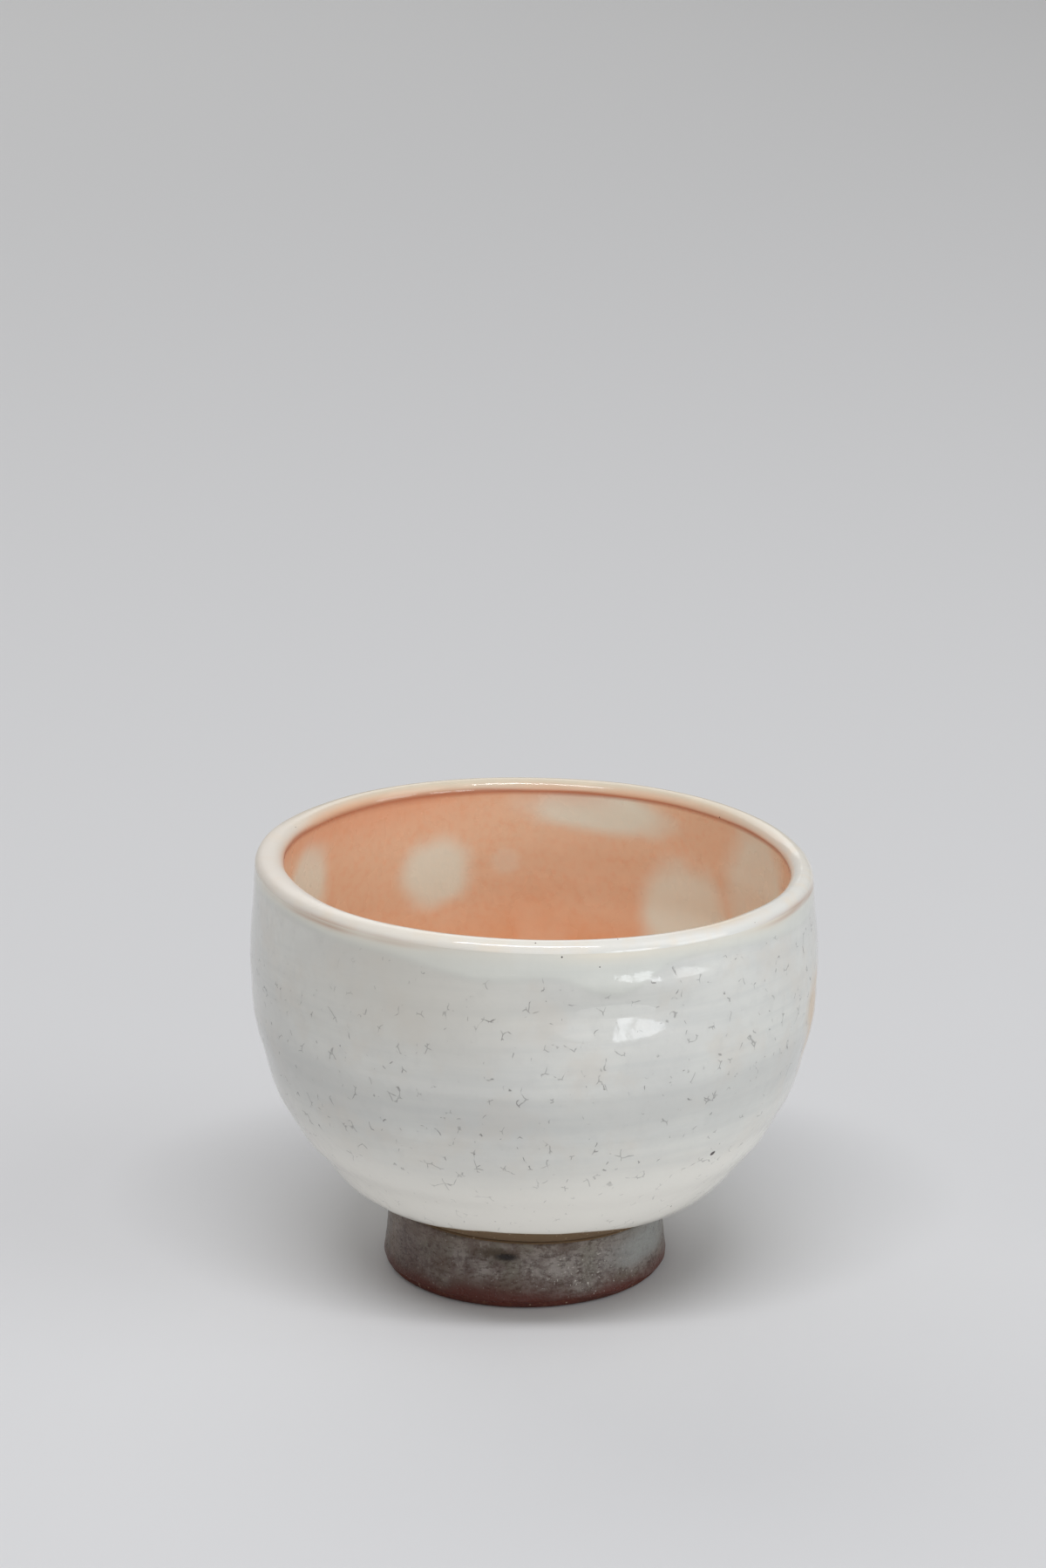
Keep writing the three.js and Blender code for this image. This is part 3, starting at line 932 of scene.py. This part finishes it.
# %% Crackle
CRACK_CELLS = 0.46        # cells of the net of cracks per millimetre
outer_finish, tree, shader = new_finish("white_crazed_glaze", IOR=1.5)
place = millimetres(tree)
drift = add(tree, "ShaderNodeTexNoise", {"Vector": place, "Scale": 0.5, "Detail": 2.0}).outputs["Color"]
crooked = add(tree, "ShaderNodeVectorMath", {0: drift, 1: (0.9, 0.9, 0.9), 2: place},
              operation="MULTIPLY_ADD").outputs[0]
flattened = add(tree, "ShaderNodeMapping", {"Vector": crooked, "Scale": (1.0, 1.0, 0.8)}).outputs[0]
wall = cells(tree, flattened, CRACK_CELLS, "DISTANCE_TO_EDGE").outputs["Distance"]
middle = cells(tree, flattened, CRACK_CELLS).outputs["Distance"]
stroke = ramped(tree, grain(tree, place, 1.1, 0), 0.6, 0.7)
fork = maths(tree, "MAXIMUM", maths(tree, "MULTIPLY", ramped(tree, middle, 0.68, 0.74), 0.7), stroke)
scatter = ramped(tree, grain(tree, place, 0.5, 1), 0.545, 0.61)
single_dip = maths(tree, "SUBTRACT", 1.0, mask_of(tree, "dip"))
hair = ramped(tree, wall, 0.006, 0.042, 1.0, 0.0)
sparse = ramped(tree, mask_of(tree, "hip"), 0.3, 1.0, 1.0, 0.45)
sparse = maths(tree, "MAXIMUM", maths(tree, "SUBTRACT", sparse, mask_of(tree, "calm")), 0.0)
kept = maths(tree, "MULTIPLY", maths(tree, "MULTIPLY", scatter, single_dip), sparse)
crack = maths(tree, "MULTIPLY", maths(tree, "MULTIPLY", hair, fork), kept)
print(f"crackle: cells of {1 / CRACK_CELLS:.1f} mm")

# %% Finish of the outer glaze
cloud = grain(tree, place, 0.07, 3)
colour = mixed(tree, ramped(tree, cloud, 0.35, 0.65), paint(210, 210, 205), paint(217, 217, 211))
level = add(tree, "ShaderNodeMapping", {"Vector": place, "Scale": (0.03, 0.03, 0.5)}).outputs[0]
streaks = ramped(tree, grain(tree, level, 1.0, 4, 0.6), 0.4, 0.7, 0.0, 0.4)
colour = mixed(tree, streaks, colour, paint(196, 198, 195))
warm = ramped(tree, grain(tree, place, 0.1, 4, 0.6), 0.48, 0.68, 0.0, 0.5)
colour = mixed(tree, warm, colour, paint(210, 204, 194))
haze = ramped(tree, grain(tree, place, 0.5, 4, 0.6), 0.45, 0.75, 0.0, 0.3)
colour = mixed(tree, haze, colour, paint(196, 196, 192))
# Painted shade under a throwing ring, partly a change in the slip's thickness: a darker band at about 39 mm
colour = tinted(tree, colour, "slip_and_shade_band", 0.45, 196, 196, 192)
# Partly painted shade: the upper left darkened and warmed, partly the glaze's own grey
colour = tinted(tree, colour, "grey", 0.7, 192, 188, 178)
colour = tinted(tree, colour, "dip", 0.5, 213, 215, 206)
# Painted shade: a soft darker line along the second dip's lower edge, under the step of its thicker glaze
dip_edge_shade = maths(tree, "MULTIPLY", mask_of(tree, "dip"), single_dip)
colour = mixed(tree, maths(tree, "MULTIPLY", dip_edge_shade, 0.45), colour, paint(190, 191, 186))
# Painted light: the lower wall lightened as if lit from the pale floor below, with a warmer tone of its own
colour = tinted(tree, colour, "hip", 1.0, 240, 237, 228)
colour = tinted(tree, colour, "cream", 1.0, 230, 222, 204)
colour = tinted(tree, colour, "hem", 0.5, 214, 198, 160)
colour = tinted(tree, colour, "peach", 0.85, 174, 128, 98)
colour = tinted(tree, colour, "stain", 0.9, 206, 172, 124)
colour = mixed(tree, maths(tree, "MULTIPLY", crack, 0.66), colour, paint(92, 87, 84))
hip_arc = float(np.interp(27.8, outer_z, path_arc[:len(outer_z)]))
# Turn in degrees, arc length and radius of single specks
WALL_SPECKS = ((43.0, hip_arc, 0.36), (5.2, LIP_START - 0.4, 0.1), (12.6, LIP_START - 2.0, 0.08))
iron = maths(tree, "MAXIMUM", flecks(tree, place, 0.16, 0.03, 0.3), specks(tree, place, WALL_SPECKS))
colour = mixed(tree, iron, colour, paint(60, 50, 46))
peel = grain(tree, place, 1.3, 2)
pull = grain(tree, place, 0.22, 2)
normal = raised(tree, peel, 0.012, raised(tree, pull, 0.10))
gloss = ramped(tree, cloud, 0.3, 0.7, 0.05, 0.11)
connect(tree, shader, Base_Color=colour, Roughness=gloss, Normal=normal)
dress(outer_finish, "outer_glaze_coat")

# %% [markdown]
# ## Cream lip
#
# The bead over the lip is the same glass, run thin over the clay's edge. Its colours follow the masks
# that the bead carries, with a few pinholes.

# %% Finish of the lip
lip_finish, tree, shader = new_finish("cream_lip_glaze", IOR=1.5)
place = millimetres(tree)
cloud = grain(tree, place, 0.25, 3)
colour = mixed(tree, mask_of(tree, "cream"), paint(216, 213, 204), paint(237, 231, 218))
colour = tinted(tree, colour, "fresh", 1.0, 223, 224, 220)
colour = tinted(tree, colour, "behind", 0.8, 213, 199, 174)
colour = mixed(tree, ramped(tree, cloud, 0.45, 0.75, 0.0, 0.35), colour, paint(236, 218, 192))
colour = tinted(tree, colour, "matt", 0.5, 216, 205, 194)
colour = tinted(tree, colour, "patch", 0.75, 228, 202, 166)
colour = tinted(tree, colour, "inside", 1.0, 226, 182, 146)
colour = tinted(tree, colour, "peach", 0.85, 174, 128, 98)
colour = tinted(tree, colour, "line", 0.8, 176, 104, 72)
colour = mixed(tree, flecks(tree, place, 0.35, 0.05, 0.25), colour, paint(96, 74, 60))
LIP_SPECKS = ((0.1, LIP_START + 1.0, 0.09), (16.9, LIP_START + 1.3, 0.08))
colour = mixed(tree, specks(tree, place, LIP_SPECKS), colour, paint(84, 66, 56))
normal = raised(tree, grain(tree, place, 1.3, 2), 0.014, raised(tree, grain(tree, place, 0.22, 2), 0.08))
shine = ramped(tree, cloud, 0.3, 0.7, 0.05, 0.1)
gloss = maths(tree, "ADD", shine, ramped(tree, mask_of(tree, "matt"), 0.1, 1.0, 0.0, 0.35))
connect(tree, shader, Base_Color=colour, Roughness=gloss, Normal=normal)
dress(lip_finish, "lip_glaze_bead")

# %% [markdown]
# ## Flushed inside
#
# Orange comes from traces of iron that the flame has drawn to the surface. It is deepest low down, paler
# towards the lip, and breaks into beige in the spots.

# %% Finish of the inside
inner_finish, tree, shader = new_finish("flushed_glaze", IOR=1.5)
place = millimetres(tree)
cloud = grain(tree, place, 0.12, 4)
fine = grain(tree, place, 0.8, 3)
colour = mixed(tree, mask_of(tree, "deep"), paint(234, 204, 172), paint(234, 165, 114))
colour = mixed(tree, ramped(tree, fine, 0.4, 0.8, 0.0, 0.3), colour, paint(228, 164, 123))
colour = mixed(tree, ramped(tree, cloud, 0.45, 0.75, 0.0, 0.5), colour, paint(238, 206, 174))
colour = tinted(tree, colour, "pale", 1.0, 232, 240, 224)
colour = tinted(tree, colour, "lipward", 0.55, 226, 154, 114)
colour = tinted(tree, colour, "line", 0.8, 176, 104, 72)
normal = raised(tree, grain(tree, place, 1.2, 2), 0.014, raised(tree, grain(tree, place, 0.2, 2), 0.08))
gloss = ramped(tree, cloud, 0.3, 0.7, 0.22, 0.34)
connect(tree, shader, Base_Color=colour, Roughness=gloss, Normal=normal)
dress(inner_finish, "inner_glaze_coat")

# %% [markdown]
# ## Thin glaze on the foot
#
# Over bare iron clay the same glaze goes grey-brown and rough, with short level scrapes, milky where it
# pooled, with white grains of undissolved feldspar that also stand in as painted glints, and a dark pit
# where it crawled.

# %% Finish of the foot's glaze
foot_finish, tree, shader = new_finish("thin_foot_glaze", IOR=1.5, Specular_IOR_Level=0.3)
place = millimetres(tree)
cloud = grain(tree, place, 0.35, 4, 0.6)
sand = grain(tree, place, 2.4, 3, 0.65)
thin = ramped(tree, mask_of(tree, "milky"), 0.2, 0.8, 1.0, 0.2)
blotches = maths(tree, "MULTIPLY", thin, ramped(tree, grain(tree, place, 0.9, 4, 0.7), 0.5, 0.64, 0.0, 0.6))
level = add(tree, "ShaderNodeMapping", {"Vector": place, "Scale": (0.8, 0.8, 2.2)}).outputs[0]
lines = maths(tree, "MULTIPLY", thin, ramped(tree, grain(tree, level, 1.0, 4, 0.7), 0.5, 0.66, 0.0, 0.7))
green = ramped(tree, grain(tree, place, 0.2, 2), 0.5, 0.62, 0.0, 0.6)
colour = mixed(tree, ramped(tree, cloud, 0.38, 0.62), paint(102, 88, 82), paint(145, 137, 130))
colour = mixed(tree, green, colour, paint(114, 109, 95))
colour = tinted(tree, colour, "brown", 0.6, 92, 72, 66)
colour = tinted(tree, colour, "milky", 1.0, 146, 147, 143)
frost = maths(tree, "MULTIPLY", mask_of(tree, "frost"), ramped(tree, sand, 0.46, 0.64))
colour = mixed(tree, frost, colour, paint(148, 142, 134))
colour = tinted(tree, colour, "pale_side", 1.0, 132, 118, 108)
colour = mixed(tree, blotches, colour, paint(62, 47, 41))
colour = mixed(tree, lines, colour, paint(64, 48, 40))
colour = tinted(tree, colour, "high", 0.3, 112, 96, 80)
colour = tinted(tree, colour, "tan", 0.7, 82, 55, 44)
colour = tinted(tree, colour, "low", 1.0, 86, 43, 34)
colour = tinted(tree, colour, "halo", 0.9, 68, 54, 38)
# Painted glints: white dots, clustered on the frosted part of the foot, stand for small highlights on the
# rough glaze as well as grains of feldspar
clusters = ramped(tree, mask_of(tree, "frost"), 0.05, 0.5, 0.2, 0.9)
grains_and_glints = maths(tree, "MULTIPLY", ramped(tree, grain(tree, place, 2.8, 1), 0.67, 0.75), clusters)
colour = mixed(tree, grains_and_glints, colour, paint(196, 190, 180))
colour = tinted(tree, colour, "pit", 1.0, 32, 24, 21)
normal = raised(tree, sand, 0.13, raised(tree, grain(tree, level, 1.0, 3), 0.16))
gloss = ramped(tree, cloud, 0.3, 0.7, 0.24, 0.46)
connect(tree, shader, Base_Color=colour, Roughness=gloss, Normal=normal)
dress(foot_finish, "foot_glaze_coat")

# %% [markdown]
# ## The table, the light and the camera
#
# The cup stands on a plain pale floor in soft studio light. An even glow comes from all round, a long
# thin strip hangs high in front and draws the bright line on the lip, wide lamps behind and far left
# light the floor and the inside, and softer ones fill from the right, low right, left and front. Two low
# lamps stand for the panes of a window, which shows as the bright reflection in the glaze. The camera
# looks down at the cup by sixteen degrees from a little more than half a metre.

# %% Floor
FLOOR_REACH = 6.0         # half the floor's width in metres
floor_mesh = bpy.data.meshes.new("floor")
floor_corners = [(FLOOR_REACH * x, FLOOR_REACH * y, 0) for x, y in ((-1, -1), (1, -1), (1, 1), (-1, 1))]
floor_mesh.from_pydata(floor_corners, [], [(0, 1, 2, 3)])
floor = bpy.data.objects.new("floor", floor_mesh)
bpy.context.scene.collection.objects.link(floor)
floor_finish, tree, shader = new_finish("pale_floor", Roughness=0.9)
shader.inputs["Base Color"].default_value = paint(217, 217, 217)
floor_mesh.materials.append(floor_finish)
print("floor", FLOOR_REACH * 2, "m across")


# %% Lights
GLOW = 0.30               # strength of the even light
CUP_MIDDLE = (0, 0, 0.04)
FAR_FLOOR = (-1.2, 2.4, 0)
# Name, place and target in metres, width, height, power in watts, and colour
LAMPS = (
    ("strip", (0, -0.781, 1.881), CUP_MIDDLE, 1.5, 0.22, 18.6, (0.98, 0.98, 1.03)),
    ("behind", (-0.8, 2.3, 1.97), CUP_MIDDLE, 3.0, 2.0, 17, (1.0, 1.0, 1.0)),
    ("far_left", (-1.3, 2.5, 1.7), FAR_FLOOR, 2.4, 2.4, 6.5, (1.0, 1.0, 1.0)),
    ("right", (1.3, -0.47, 1.2), CUP_MIDDLE, 1.0, 1.0, 3.6, (0.96, 1.0, 1.03)),
    ("low_right", (1.65, -0.6, 0.42), CUP_MIDDLE, 0.8, 0.6, 3.9, (0.96, 1.0, 1.03)),
    ("left", (-1.34, -0.62, 1.07), CUP_MIDDLE, 1.0, 1.0, 1.6, (1.0, 0.99, 0.97)),
    ("front", (0, -1.74, 0.51), CUP_MIDDLE, 1.4, 0.8, 2.8, (0.98, 0.99, 1.03)),
    ("window_left", (0.948, -1.506, 0.21), CUP_MIDDLE, 0.14, 0.4, 0.95, (0.95, 0.99, 1.04)),
    ("window_right", (1.203, -1.312, 0.21), CUP_MIDDLE, 0.40, 0.4, 2.2, (0.95, 0.99, 1.04)),
)


def soft_lamp(name, place, target, wide, tall, power, colour):
    """A rectangular area lamp that faces a target."""
    lamp = bpy.data.lights.new(name, "AREA")
    lamp.shape, lamp.size, lamp.size_y, lamp.energy, lamp.color = "RECTANGLE", wide, tall, power, colour
    holder = bpy.data.objects.new(name, lamp)
    aim = np.array(target) - np.array(place)
    holder.location = place
    holder.rotation_euler = (math.atan2(math.hypot(aim[0], aim[1]), -aim[2]), 0, math.atan2(-aim[0], aim[1]))
    bpy.context.scene.collection.objects.link(holder)


world = bpy.data.worlds.new("even_glow")
world.use_nodes = True
world.node_tree.nodes["Background"].inputs["Color"].default_value = (1.0, 1.0, 1.0, 1.0)
world.node_tree.nodes["Background"].inputs["Strength"].default_value = GLOW
bpy.context.scene.world = world
for lamp_facts in LAMPS:
    soft_lamp(*lamp_facts)
print(len(LAMPS), "lamps,", round(sum(lamp_facts[5] for lamp_facts in LAMPS), 1), "W in all")

# %% Camera
CAMERA_PLACE = (-0.0017, -0.5793, 0.2418)
LOOK_DOWN = 15.97         # degrees under the level
SENSOR = 36               # longer side of the sensor in millimetres
PICTURE_HEIGHT = 1798     # longer side of the picture in pixels
FOCAL_PIXELS = 4600       # focal length in the same pixels
camera = bpy.data.objects.new("camera", bpy.data.cameras.new("camera"))
camera.location = CAMERA_PLACE
camera.rotation_euler = (math.radians(90 - LOOK_DOWN), 0, 0)
camera.data.sensor_width = SENSOR
camera.data.lens = FOCAL_PIXELS * SENSOR / PICTURE_HEIGHT
camera.data.clip_start, camera.data.clip_end = 0.01, 50
bpy.context.scene.collection.objects.link(camera)
bpy.context.scene.camera = camera
bpy.context.scene.view_settings.view_transform = "Standard"
print(f"lens {camera.data.lens:.1f} mm")
